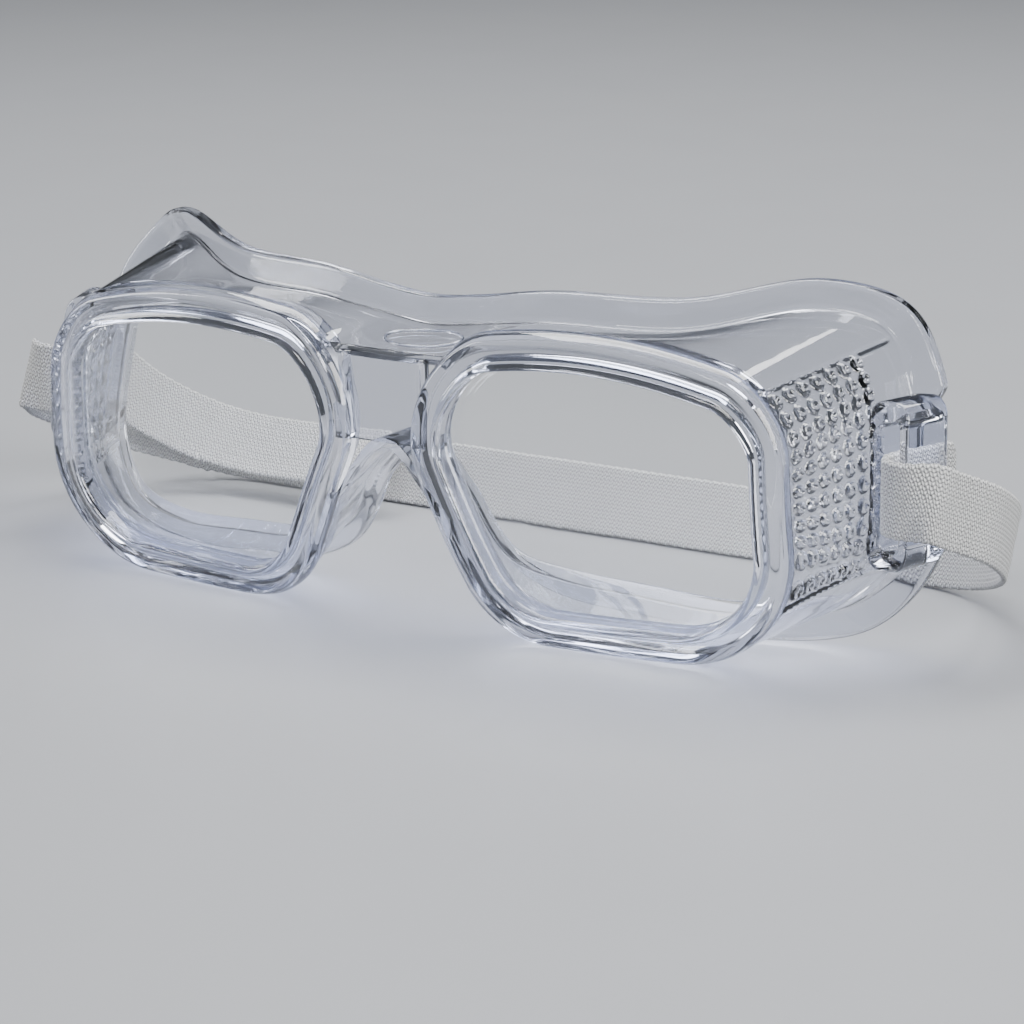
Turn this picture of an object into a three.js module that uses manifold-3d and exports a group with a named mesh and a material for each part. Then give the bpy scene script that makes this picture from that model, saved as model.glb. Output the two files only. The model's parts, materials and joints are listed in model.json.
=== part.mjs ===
// Soft-framed safety goggles: a clear PVC frame with two lenses, vented sides and an elastic strap.
// Millimetres. +X is the wearer's left, -Y is the way the wearer looks, +Z is up. The frame is one
// moulding on the real object; here it is cut into sections so that its hollows stay open.
import * as THREE from 'three';
import { mergeVertices } from 'three/addons/utils/BufferGeometryUtils.js';
import Module from 'manifold-3d';

const wasm = await Module();
wasm.setup();

// ---- driving dimensions -------------------------------------------------------------------------
const faceHalfWidth = 85.3; // from the middle to the lip's edge at the temple
const faceDepth = 39.6; // how far back the lip reaches at the temple
const faceHeight = 58.5; // from the ground to the top of the lip
const fitGap = 0.3; // clearance left wherever two pieces would touch
const restFlat = 0.9; // how far the soft rims flatten where the goggles stand

// Eye rim: centre, set and bulge of the surface that both the rim and the lens follow.
const eyeCentreX = faceHalfWidth * 0.3986;
const eyeCentreY = -1.4;
const eyeWrap = THREE.MathUtils.degToRad(2.8); // turned back towards the temple
const eyeLean = THREE.MathUtils.degToRad(-7.6); // top edge leans forward
const bulgeAcross = 0.004; // curvature from nose to temple, 1/mm
const bulgeUp = 0.0087; // curvature from cheek to brow, 1/mm
const browArch = 5.4; // how much the top edge rises over the eye
const browArchHalf = 33; // half the width of that rise
const browArchStart = 27.6; // height over which the rise comes in

// Corners of the eye rim before they are rounded: across, up, radius.
const eyeCorners = [
  { across: -14.2, up: -16.9, radius: 17.7 }, // nose, low
  { across: -36.4, up: 30.2, radius: 14.5 }, // nose, high
  { across: 37.7, up: 31.4, radius: 10.8 }, // temple, high
  { across: 39.8, up: -16.0, radius: 20.6 }, // temple, low
];

const rimWidth = 6.0; // from the outer edge to the eye opening
const rimDepth = 7.0; // from the front bead to the back of the rim
const lensThickness = 1.8;
const lensSeat = 1.7; // how far the lens reaches into its groove
const lensSetback = 3.7; // front of the lens behind the front bead

const wallThickness = 1.8;
const wallInset = 0.8; // wall stands this far inside the rim's outer edge
const wallSetback = 0.8; // gap between the rim's back face and the wall
const lipGap = 0.5; // gap between the wall's rear edge and the lip
const lipWidth = 5.2; // flared sealing lip against the face
const lipWidthAtLug = 2.4; // the lip is narrower where the strap passes over it
const lipWidthAtNose = 2.2; // and down the sides of the nose
const lipThickness = 2.0;
const lipRake = 1.2; // outer edge of the lip lies this much behind its root

const bridgeTop = 45.8; // clear web between the eyes: heights and thickness
const bridgeBottom = 31.0;
const bridgeThickness = 2.2;
const bridgeSetback = 2.0; // front of the web behind the front bead
const bridgeSideGap = 0.25; // allows for the straight steps of the web's edge

const ventRows = 11; // moulded vent bumps on each side wall
const ventColumns = 7;
const ventBumpRadius = 1.15;
const ventBumpHeight = 0.8;
const ventBumpTaper = 0.7; // width of a bump's top as a share of its foot
const ventBumpRoot = 0.3; // how deep a bump's foot is sunk into the wall

const lugLength = 9.0; // belt loop that the strap is threaded through, measured along the wall
const lugHeight = 27.0;
const lugStandOff = 2.8; // base block under the strap
const lugPassage = 4.1; // room for the strap, outwards
const lugBar = 2.0; // thickness of the outer bar
const lugLeg = 3.4; // top and bottom legs
const lugLift = 28.2; // height of the lug's middle
const lugFromLip = 0.1; // gap along the wall between the lug's nearest corner and the wall's rear edge

const strapWidth = 12.7;
const strapThickness = 1.2;
const strapReach = 50; // from the swing axis to the middle of the back run
const strapSpread = 5.4; // the loop's widest point stands this far out from the lugs
const strapTurn = 16.6; // the back run is straight inside this distance from the lugs
const swingClear = 0.6; // the loop swings this far outside the lugs
const groundGap = 0.25; // the drooping loop stops this far above the ground
const wrapBend = 2.7; // how far in front of the lug the strap turns back
const wrapEase = 0.9; // the strap bows out of its straight line by this much as it turns
const swingGap = 0.5; // half the gap there between the still part and the swinging part
const tailEnd = 36; // free end of the long tail, from the centre
const tailInset = 4.6; // the long tail lies this far inside the back run
const tailHang = THREE.MathUtils.degToRad(45); // the long tail hangs this far below level
const shortTail = 5.0; // free end behind the other lug

// Where the skirt leaves the eye rim (piece of the rim's outline) and where it meets the face.
// Outline pieces: 0 nose side, 1 its corner, 2 brow, 3 temple corner, 4 temple side, 5 cheek
// corner, 6 cheek, 7 nose corner. Stations run from the middle of the brow round to the nose arch.
// Places on the face are shares of faceHalfWidth, faceDepth and faceHeight.
const stations = [
  { outline: 1.68, face: [0.0000, 0.3788, 0.9026] },
  { outline: 1.68, face: [0.1055, 0.3864, 0.9162] },
  { outline: 2, face: [0.2497, 0.4293, 0.9436] },
  { outline: 2.5, face: [0.5135, 0.5808, 0.9436] },
  { outline: 3, face: [0.7433, 0.8207, 1.0000] },
  { outline: 3.5, face: [0.8792, 1.0000, 0.9231] },
  { outline: 4, face: [0.9637, 0.9444, 0.7607] },
  { outline: 4.5, face: [1.0000, 0.8838, 0.5009] },
  { outline: 5, face: [0.9918, 0.7879, 0.2393] },
  { outline: 5.5, face: [0.8910, 0.6768, 0.0547] },
  { outline: 6, face: [0.6682, 0.5253, 0.0017] },
  { outline: 6.5, face: [0.4455, 0.4444, 0.0325] },
  { outline: 7, face: [0.2931, 0.4141, 0.0615] },
  { outline: 7.5, face: [0.1852, 0.3586, 0.1453] },
  { outline: 8, face: [0.1266, 0.3232, 0.2564] },
  { outline: 8.3, face: [0.0797, 0.2980, 0.3829] },
  { outline: 9.05, face: [0.0000, 0.2879, 0.4684] },
];
const lastStation = stations.length - 1;
const archCrossing = 0.08 * rimDepth; // the wall crosses from rim to rim over this much of a station

// ---- materials ----------------------------------------------------------------------------------
const clearPvc = () => new THREE.MeshStandardMaterial({ color: 0xc9d2e2, roughness: 0.08, metalness: 0 });
const clearLens = () => new THREE.MeshStandardMaterial({ color: 0xe8eef4, roughness: 0.03, metalness: 0 });
const whiteElastic = () => new THREE.MeshStandardMaterial({ color: 0xf0efec, roughness: 0.85, metalness: 0 });

// ---- mesh helpers -------------------------------------------------------------------------------
function signedVolume(geometry) {
  const at = geometry.attributes.position;
  const index = geometry.index.array;
  const [a, b, c] = [new THREE.Vector3(), new THREE.Vector3(), new THREE.Vector3()];
  let volume = 0;
  for (let i = 0; i < index.length; i += 3) {
    a.fromBufferAttribute(at, index[i]);
    b.fromBufferAttribute(at, index[i + 1]);
    c.fromBufferAttribute(at, index[i + 2]);
    volume += a.dot(b.cross(c)) / 6;
  }
  return volume;
}

function facingOut(geometry) {
  if (signedVolume(geometry) < 0) {
    const index = geometry.index.array;
    for (let i = 0; i < index.length; i += 3) {
      [index[i + 1], index[i + 2]] = [index[i + 2], index[i + 1]];
    }
  }
  return geometry;
}

// Moves every vertex of a three.js solid with place(vertex), keeping it closed.
function shaped(source, place) {
  const geometry = source.clone();
  geometry.deleteAttribute('normal');
  geometry.deleteAttribute('uv');
  const merged = mergeVertices(geometry, 1e-5);
  const at = merged.attributes.position;
  const vertex = new THREE.Vector3();
  for (let i = 0; i < at.count; i += 1) {
    vertex.fromBufferAttribute(at, i);
    const moved = place(vertex);
    at.setXYZ(i, moved.x, moved.y, moved.z);
  }
  return facingOut(merged);
}

// A box whose three sides run 0 to 1, placed by place(along, across, through).
function bentSlab(alongSteps, acrossSteps, place) {
  const box = new THREE.BoxGeometry(1, 1, 1, alongSteps, acrossSteps, 1);
  return shaped(box, (v) => place(v.x + 0.5, v.y + 0.5, v.z + 0.5));
}

function toSolid(geometry) {
  const plain = geometry.clone();
  plain.deleteAttribute('normal');
  plain.deleteAttribute('uv');
  const merged = mergeVertices(plain, 1e-5);
  return new wasm.Manifold(new wasm.Mesh({
    numProp: 3,
    vertProperties: new Float32Array(merged.attributes.position.array),
    triVerts: new Uint32Array(merged.index.array),
  }));
}

function fromSolid(solid) {
  const mesh = solid.getMesh();
  const geometry = new THREE.BufferGeometry();
  geometry.setAttribute('position', new THREE.BufferAttribute(new Float32Array(mesh.vertProperties), 3));
  geometry.setIndex(new THREE.BufferAttribute(new Uint32Array(mesh.triVerts), 1));
  return geometry;
}

const mirrored = (geometry) => facingOut(shaped(geometry, (v) => new THREE.Vector3(-v.x, v.y, v.z)));

const goggles = new THREE.Group();

function addPiece(name, geometry, material) {
  geometry.computeVertexNormals();
  const mesh = new THREE.Mesh(geometry, material);
  mesh.name = name;
  goggles.add(mesh);
}

function addPair(name, geometry, material) {
  addPiece(`left_${name}`, geometry, material());
  addPiece(`right_${name}`, mirrored(geometry), material());
}

// ---- eye rim outline ----------------------------------------------------------------------------
const corner = eyeCorners.map((c, i) => {
  const here = new THREE.Vector2(c.across, c.up);
  const before = eyeCorners[(i + 3) % 4];
  const after = eyeCorners[(i + 1) % 4];
  const back = new THREE.Vector2(before.across, before.up).sub(here).normalize();
  const on = new THREE.Vector2(after.across, after.up).sub(here).normalize();
  const half = Math.acos(back.dot(on)) / 2;
  const start = here.clone().addScaledVector(back, c.radius / Math.tan(half));
  const end = here.clone().addScaledVector(on, c.radius / Math.tan(half));
  const middle = here.clone().addScaledVector(back.clone().add(on).normalize(), c.radius / Math.sin(half));
  const from = Math.atan2(start.y - middle.y, start.x - middle.x);
  const turn = -(Math.PI - 2 * half); // the outline runs clockwise seen from the front
  return { start, end, middle, from, turn, radius: c.radius };
});

// A point of the outline; `outline` runs 0 to 8, odd pieces being corners.
function outlinePoint(outline) {
  const wrapped = ((outline % 8) + 8) % 8;
  const piece = Math.min(Math.floor(wrapped), 7);
  const part = wrapped - piece;
  const point = new THREE.Vector2();
  if (piece % 2 === 1) {
    const bend = corner[((piece + 1) / 2) % 4];
    const angle = bend.from + bend.turn * part;
    point.set(bend.middle.x + bend.radius * Math.cos(angle), bend.middle.y + bend.radius * Math.sin(angle));
  } else {
    point.lerpVectors(corner[piece / 2].end, corner[(piece / 2 + 1) % 4].start, part);
  }
  const share = THREE.MathUtils.clamp(point.y / browArchStart, 0, 1.2);
  point.y += browArch * share * (1 - (point.x / browArchHalf) ** 2);
  return point;
}

function insetOutline(outline, inset) {
  const step = 0.01;
  const ahead = outlinePoint(outline + step);
  const behind = outlinePoint(outline - step);
  const tangent = ahead.sub(behind).normalize();
  return outlinePoint(outline).add(new THREE.Vector2(tangent.y, -tangent.x).multiplyScalar(inset));
}

// ---- the bulged surface that rim and lens follow ------------------------------------------------
const eyeAcross = new THREE.Vector3(Math.cos(eyeWrap), Math.sin(eyeWrap), 0);
const eyeOut = new THREE.Vector3(
  Math.sin(eyeWrap) * Math.cos(eyeLean),
  -Math.cos(eyeWrap) * Math.cos(eyeLean),
  Math.sin(eyeLean),
);
const eyeUp = new THREE.Vector3().crossVectors(eyeAcross, eyeOut).negate();
const eyeCentre = new THREE.Vector3(eyeCentreX, eyeCentreY, 0);

function onEye(point, out) {
  const sag = 0.5 * bulgeAcross * point.x ** 2 + 0.5 * bulgeUp * point.y ** 2;
  return eyeCentre.clone()
    .addScaledVector(eyeAcross, point.x)
    .addScaledVector(eyeUp, point.y)
    .addScaledVector(eyeOut, out - sag);
}

// The rim stands on its lowest point, pressed flat by restFlat.
const outlineSteps = 56;
let lowest = Infinity;
for (let i = 0; i < outlineSteps; i += 1) {
  lowest = Math.min(lowest, onEye(outlinePoint((i * 8) / outlineSteps), 0).z);
}
eyeCentre.z = -lowest - restFlat;

const standing = (v) => new THREE.Vector3(v.x, v.y, Math.max(v.z, 0));

// ---- lens rims and lenses -----------------------------------------------------------------------
const grooveDepth = rimWidth - lensSeat - fitGap;
const grooveFront = -lensSetback + fitGap;
const grooveBack = -lensSetback - lensThickness - fitGap;

// Cross-section of the rim: inset from its outer edge, and depth behind the front bead.
const rimSection = [
  [0, -2.2],
  [1.2, 0],
  [3.0, -0.8],
  [rimWidth - 1.2, -0.3],
  [rimWidth, -1.0],
  [rimWidth, grooveFront],
  [grooveDepth, grooveFront],
  [grooveDepth, grooveBack],
  [rimWidth, grooveBack],
  [rimWidth - 0.8, -rimDepth],
  [wallInset, -rimDepth],
  [0, -4.6],
];

// A closed section swept round the eye: a lathe whose turns follow the outline.
function roundEye(section) {
  const sweepRadius = 100;
  const profile = section.map(([inset, out]) => new THREE.Vector2(sweepRadius + inset, out));
  profile.push(profile[0].clone());
  return shaped(new THREE.LatheGeometry(profile, outlineSteps), (v) => {
    const turn = Math.atan2(v.x, v.z) / (2 * Math.PI);
    const inset = Math.hypot(v.x, v.z) - sweepRadius;
    return standing(onEye(insetOutline(turn * 8, inset), v.y));
  });
}

addPair('lens_rim', roundEye(rimSection), clearPvc);

// The lens: a bent plate built in rings about its middle.
const lensEdge = rimWidth - lensSeat;
const lensProfile = [
  [0, -lensSetback - lensThickness],
  [0.55, -lensSetback - lensThickness],
  [1, -lensSetback - lensThickness],
  [1, -lensSetback],
  [0.55, -lensSetback],
  [0, -lensSetback],
].map(([share, out]) => new THREE.Vector2(share, out));
const lensPlate = shaped(new THREE.LatheGeometry(lensProfile, outlineSteps), (v) => {
  const turn = Math.atan2(v.x, v.z) / (2 * Math.PI);
  const share = Math.hypot(v.x, v.z);
  return onEye(insetOutline(turn * 8, lensEdge).multiplyScalar(share), v.y);
});
addPair('lens', lensPlate, clearLens);

// ---- bridge web between the rims ----------------------------------------------------------------
// Half width of the space between the two rims at a height, from the rim's nose side.
function noseSideX(height) {
  let nearest = null;
  for (let outline = -1; outline <= 2; outline += 0.05) {
    const point = onEye(outlinePoint(outline), -bridgeSetback);
    if (!nearest || Math.abs(point.z - height) < Math.abs(nearest.z - height)) nearest = point;
  }
  return nearest.x;
}

const bridgeFront = onEye(outlinePoint(0.9), -bridgeSetback).y;
addPiece('bridge_web', bentSlab(4, 6, (along, across, through) => {
  const height = THREE.MathUtils.lerp(bridgeBottom, bridgeTop, across);
  const half = noseSideX(height) - fitGap - bridgeSideGap;
  return new THREE.Vector3(
    THREE.MathUtils.lerp(-half, half, along),
    bridgeFront + through * bridgeThickness,
    height,
  );
}), clearPvc());

// ---- skirt: walls from the eye rims back to the face --------------------------------------------
const faceSize = new THREE.Vector3(faceHalfWidth, faceDepth, faceHeight);
const facePoints = stations.map((s) => new THREE.Vector3(...s.face).multiply(faceSize));
const faceMirror = facePoints.slice(1, -1).reverse().map((p) => new THREE.Vector3(-p.x, p.y, p.z));
const faceCurve = new THREE.CatmullRomCurve3([...facePoints, ...faceMirror], true, 'centripetal');
const faceCount = facePoints.length + faceMirror.length;

const flip = (v) => new THREE.Vector3(-v.x, v.y, v.z);

// Station numbers below 0 or past the nose arch are the other half, mirrored.
function onHalf(station, rightHalf) {
  if (station < 0) return flip(rightHalf(-station));
  if (station > lastStation) return flip(rightHalf(2 * lastStation - station));
  return rightHalf(station);
}

const faceEdge = (station) => onHalf(station, (s) => faceCurve.getPoint(s / faceCount));

function rimBack(station) {
  return onHalf(station, (s) => {
    const low = Math.min(Math.floor(s), lastStation - 1);
    const outline = THREE.MathUtils.lerp(stations[low].outline, stations[low + 1].outline, s - low);
    const point = onEye(insetOutline(outline, wallInset), -rimDepth - wallSetback);
    const toBrow = Math.max(1 - s, 0);
    const toArch = Math.max((s - lastStation) / archCrossing + 1, 0);
    const webBack = bridgeFront + bridgeThickness + fitGap;
    const level = point.x * (1 - toBrow) * (1 - toArch);
    return point
      .lerp(new THREE.Vector3(0, webBack, bridgeTop), THREE.MathUtils.smoothstep(toBrow, 0, 1))
      .lerp(new THREE.Vector3(0, webBack, bridgeBottom), THREE.MathUtils.smoothstep(toArch, 0, 1))
      .setX(level);
  });
}

// Which way is into the goggles at a station: square to the wall there.
function inward(station) {
  const step = 0.2;
  const along = rimBack(station + step).add(faceEdge(station + step))
    .sub(rimBack(station - step)).sub(faceEdge(station - step));
  const back = faceEdge(station).sub(rimBack(station)).setComponent(0, 0);
  back.add(new THREE.Vector3(0, 0.001, 0));
  return new THREE.Vector3().crossVectors(back, along).normalize();
}

const lugStation = 7; // the lugs stand half way up the side walls
const noseStation = 12; // the lip narrows from here to the nose arch
function fullLipWidth(station) {
  const half = Math.min(Math.abs(station), 2 * lastStation - station);
  return THREE.MathUtils.lerp(lipWidth, lipWidthAtNose, THREE.MathUtils.smoothstep(half, noseStation, noseStation + 2));
}
function lipWidthAt(station) {
  const near = Math.abs(Math.min(Math.abs(station), 2 * lastStation - station) - lugStation);
  return THREE.MathUtils.lerp(lipWidthAtLug, fullLipWidth(station), THREE.MathUtils.smoothstep(near, 0.75, 1.15));
}

const lipRoot = (station) => faceEdge(station)
  .addScaledVector(inward(station), fullLipWidth(station))
  .add(new THREE.Vector3(0, -lipRake, 0));

// The wall's thickness runs along the rim's back face at the front, and square to the wall behind.
function wallPoint(station, back, depth) {
  const front = rimBack(station);
  const rear = lipRoot(station).add(new THREE.Vector3(0, -lipGap, 0));
  const eyeAxis = onHalf(THREE.MathUtils.euclideanModulo(station, 2 * lastStation), () => eyeOut.clone());
  const square = inward(station);
  const level = square.clone().addScaledVector(eyeAxis, -square.dot(eyeAxis)).normalize();
  return front.lerp(rear, back).addScaledVector(level.lerp(square, back), depth * wallThickness);
}

const stationGap = 0.035; // share of a station left open between neighbouring sections
const stepsPerStation = 4;

function wallSection(from, to) {
  const steps = Math.max(2, Math.round((to - from) * stepsPerStation));
  return bentSlab(steps, 3, (along, across, through) => {
    const station = THREE.MathUtils.lerp(from + stationGap, to - stationGap, along);
    return standing(wallPoint(station, across, through));
  });
}

function lipSection(from, to) {
  const steps = Math.max(2, Math.round((to - from) * stepsPerStation));
  return bentSlab(steps, 1, (along, across, through) => {
    const station = THREE.MathUtils.lerp(from + stationGap, to - stationGap, along);
    const root = lipRoot(station).addScaledVector(inward(station), wallThickness);
    const reach = (wallThickness + lipWidthAt(station)) * across;
    root.addScaledVector(inward(station), -reach);
    root.y += lipRake * across + lipThickness * through;
    return standing(root);
  });
}

addPiece('brow_centre', wallSection(-2, 2), clearPvc());
addPiece('nose_arch', wallSection(15, 17), clearPvc());
addPair('brow_wall', wallSection(2, 3.6), clearPvc);
addPair('temple_wall', wallSection(3.6, 5.9), clearPvc);
addPair('cheek_corner', wallSection(8.1, 9.9), clearPvc);
addPair('cheek_wall', wallSection(9.9, 12.2), clearPvc);
addPair('nose_wall', wallSection(12.2, 15), clearPvc);

addPiece('brow_lip', lipSection(-2.2, 2.2), clearPvc());
addPair('temple_lip', lipSection(2.2, 5.5), clearPvc);
addPair('side_lip', lipSection(5.5, 8.6), clearPvc);
addPair('cheek_lip', lipSection(8.6, 12.5), clearPvc);
addPair('nose_lip', lipSection(12.5, lastStation), clearPvc);

// ---- vented side walls --------------------------------------------------------------------------
const ventTop = 6.15; // stations that the rows of bumps run between
const ventBottom = 7.85;
const ventFront = 0.06; // shares of the wall that the columns run between
const ventRear = 0.62;

function ventedWall() {
  let wall = toSolid(wallSection(5.9, 8.1));
  const bumpLength = ventBumpHeight + 2 * ventBumpRoot;
  const bumpShape = new THREE.CylinderGeometry(ventBumpRadius * ventBumpTaper, ventBumpRadius, bumpLength, 4);
  for (let row = 0; row < ventRows; row += 1) {
    for (let column = 0; column < ventColumns; column += 1) {
      const station = THREE.MathUtils.lerp(ventTop, ventBottom, row / (ventRows - 1));
      const back = THREE.MathUtils.lerp(ventFront, ventRear, column / (ventColumns - 1));
      const bump = bumpShape.clone();
      const out = inward(station).negate();
      bump.applyQuaternion(new THREE.Quaternion().setFromUnitVectors(new THREE.Vector3(0, 1, 0), out));
      const seat = wallPoint(station, back, 0).addScaledVector(out, ventBumpHeight / 2 - ventBumpRoot);
      bump.translate(seat.x, seat.y, seat.z);
      wall = wall.add(toSolid(bump));
    }
  }
  return fromSolid(wall);
}
addPair('vent_wall', ventedWall(), clearPvc);

// ---- strap lugs ---------------------------------------------------------------------------------
// The lug's own directions: along the wall to the rear, out from it, and up.
const wallFront = wallPoint(lugStation, 0, 0);
const wallRear = wallPoint(lugStation, 1, 0);
const lugAlong = wallRear.clone().sub(wallFront).setZ(0).normalize();
const lugUp = wallPoint(lugStation - 0.5, 0.8, 0).sub(wallPoint(lugStation + 0.5, 0.8, 0)).normalize();
const lugOut = new THREE.Vector3().crossVectors(lugAlong, lugUp).normalize();
const lugLean = lugUp.dot(lugAlong);
const wallFoot = wallFront.clone().setZ(lugLift);

// Samples of the side wall beside the lug, from front to rear and from its top to its bottom.
const besideLug = [];
for (let station = lugStation - 1; station <= lugStation + 1; station += 0.1) {
  for (let back = 0; back <= 1; back += 0.1) {
    const point = wallPoint(station, back, 0);
    const up = (point.z - lugLift) / lugUp.z;
    const offset = point.clone().sub(wallFoot).addScaledVector(lugUp, -up);
    if (Math.abs(up) <= lugHeight / 2) besideLug.push({ back, along: offset.dot(lugAlong), out: offset.dot(lugOut) });
  }
}
const wallEnds = besideLug.filter((sample) => sample.back > 0.95);
const lugRear = Math.min(...wallEnds.map((sample) => sample.along)) - lugFromLip;

function atLug(back, out, up) {
  return wallFoot.clone()
    .addScaledVector(lugUp, up)
    .addScaledVector(lugAlong, lugRear - lugLength + back)
    .addScaledVector(lugOut, out);
}

function lugBlock(back, out, up) {
  return bentSlab(1, 1, (along, across, through) => atLug(
    THREE.MathUtils.lerp(...back, along),
    THREE.MathUtils.lerp(...out, across),
    THREE.MathUtils.lerp(...up, through),
  ));
}

const lugTop = lugHeight / 2;
const passageOut = [lugStandOff, lugStandOff + lugPassage];
const underLug = besideLug.filter((sample) => sample.along > lugRear - lugLength - 2 && sample.along < lugRear + 2);
// The lug's foot stands clear of the slightly bowed wall and of the bumps on it.
const lugFoot = fitGap + ventBumpHeight + Math.max(...underLug.map((sample) => sample.out));
const lug = toSolid(lugBlock([0, lugLength], [lugFoot, passageOut[1] + lugBar], [-lugTop, lugTop]))
  .subtract(toSolid(lugBlock([-1, lugLength + 1], passageOut, [lugLeg - lugTop, lugTop - lugLeg])));
addPair('strap_lug', fromSolid(lug), clearPvc);

// ---- elastic strap ------------------------------------------------------------------------------
// A flat band carried along a plan curve. Its width points up unless lean gives another direction.
const upright = new THREE.Vector3(0, 0, 1);
function band(curve, steps, finish = (v) => v, lean = () => upright) {
  return bentSlab(steps, 1, (along, across, through) => {
    const point = curve.getPoint(along);
    const tangent = curve.getTangent(along);
    const side = new THREE.Vector3(tangent.y, -tangent.x, 0).normalize();
    point.addScaledVector(side, (through - 0.5) * strapThickness);
    point.addScaledVector(lean(along), (across - 0.5) * strapWidth);
    return finish(point);
  });
}

const passageMiddle = (passageOut[0] + passageOut[1]) / 2;
const lugOuterFace = passageOut[1] + lugBar;
const swingY = atLug(-wrapBend, lugOuterFace, 0).y + 1.0;
const swingZ = lugLift;
const strapSwingX = swingClear + Math.max(
  atLug(lugLength, lugOuterFace, lugTop).x,
  atLug(lugLength, lugOuterFace, -lugTop).x,
);
const strapBulge = strapSwingX + strapSpread;
const strapCorner = strapSwingX - strapTurn;
const onSwing = (point) => point.setZ(swingZ);

// From behind the lug, forwards through its passage, round its front bar and out to the side.
function strapWrap(freeEnd) {
  const points = [
    atLug(lugLength + freeEnd, passageMiddle + 0.2, 0),
    atLug(lugLength, passageMiddle, 0),
    atLug(0, passageMiddle, 0),
    atLug(wrapEase - wrapBend, passageMiddle + wrapEase, 0),
    atLug(-wrapBend, lugOuterFace - 2 * wrapEase, 0),
    atLug(-wrapBend, lugOuterFace + wrapEase, 0),
    new THREE.Vector3(strapSwingX - swingGap, swingY, 0),
  ];
  const squareUp = new THREE.Vector3().crossVectors(lugOut, lugAlong);
  const lean = (along) => squareUp.clone().lerp(upright, THREE.MathUtils.smoothstep(along, 0.75, 1)).normalize();
  return band(new THREE.CatmullRomCurve3(points.map(onSwing), false, 'centripetal'), 20, undefined, lean);
}
addPiece('left_strap_wrap', strapWrap(shortTail), whiteElastic());
addPiece('right_strap_wrap', mirrored(strapWrap(fitGap)), whiteElastic());

// The loop lies in a plane through the swing axis and droops until its lower edge meets the ground.
const droopRadius = Math.hypot(strapReach, strapWidth / 2);
const droop = Math.asin((swingZ - groundGap) / droopRadius) - Math.atan(strapWidth / 2 / strapReach);

function drooped(point) {
  const back = point.y - swingY;
  const up = point.z - swingZ;
  return new THREE.Vector3(
    point.x,
    swingY + back * Math.cos(droop) + up * Math.sin(droop),
    swingZ - back * Math.sin(droop) + up * Math.cos(droop),
  );
}

const plan = (x, back) => new THREE.Vector3(x, swingY + back, swingZ);
const loopCurve = new THREE.CatmullRomCurve3([
  plan(strapSwingX + swingGap, 0.1),
  plan(strapBulge - 3.4, 3.6),
  plan(strapBulge, 11),
  plan(strapBulge - 0.4, 20),
  plan(strapBulge - 4.6, strapReach - 17),
  plan(strapBulge - 13, strapReach - 6),
  plan(strapCorner + 2 * fitGap, strapReach),
], false, 'centripetal');
addPair('strap_loop', band(loopCurve, 18, drooped), whiteElastic);

const backCurve = new THREE.LineCurve3(plan(strapCorner, strapReach), plan(-strapCorner, strapReach));
addPiece('strap_back_run', band(backCurve, 1, drooped), whiteElastic());

// The long free tail hangs from the rear of the right lug and lies inside the loop. Its end at the
// lug is round about the tail's own swing axis, so that it turns clear of the lug.
const tailPivot = onSwing(atLug(lugLength + 3 * fitGap + strapWidth / 2, passageMiddle + 0.2, 0));
const tailBack = tailPivot.y - swingY;
const tailCurve = new THREE.CatmullRomCurve3([
  plan(tailPivot.x - 1.6, tailBack - strapWidth / 2),
  plan(tailPivot.x, tailBack),
  plan(tailPivot.x + 1.3, tailBack + 6),
  plan(tailPivot.x - 1.2, strapReach - 16),
  plan(tailPivot.x - 9, strapReach - tailInset - 3.5),
  plan(tailPivot.x - 21, strapReach - tailInset),
  plan(tailEnd, strapReach - tailInset - 1.5),
], false, 'centripetal');
function tailHung(point) {
  const back = point.y - tailPivot.y;
  const half = strapWidth / 2;
  const round = Math.sqrt(Math.max(half ** 2 - Math.min(back, 0) ** 2, 0.04)) / half;
  const up = (point.z - swingZ) * round;
  return new THREE.Vector3(
    point.x,
    tailPivot.y + back * Math.cos(tailHang) + up * Math.sin(tailHang),
    swingZ - back * Math.sin(tailHang) + up * Math.cos(tailHang),
  );
}
addPiece('right_strap_tail', mirrored(band(tailCurve, 24, tailHung)), whiteElastic());

// ---- origin: the middle of the space the goggles stand in, on the ground ------------------------
goggles.updateMatrixWorld(true);
const room = new THREE.Box3().setFromObject(goggles);
goggles.position.y = -(room.min.y + room.max.y) / 2;
goggles.updateMatrixWorld(true);

export default goggles;
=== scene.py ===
# Soft-framed safety goggles: a clear PVC frame, two clear lenses and a knitted elastic strap, built
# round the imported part. Shapes are worked out in millimetres and go into the meshes in metres.
# +X is the wearer's left, -Y is the way the wearer looks, +Z is up.
import json

import bpy
import numpy as np
from mathutils import Matrix, Vector


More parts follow.
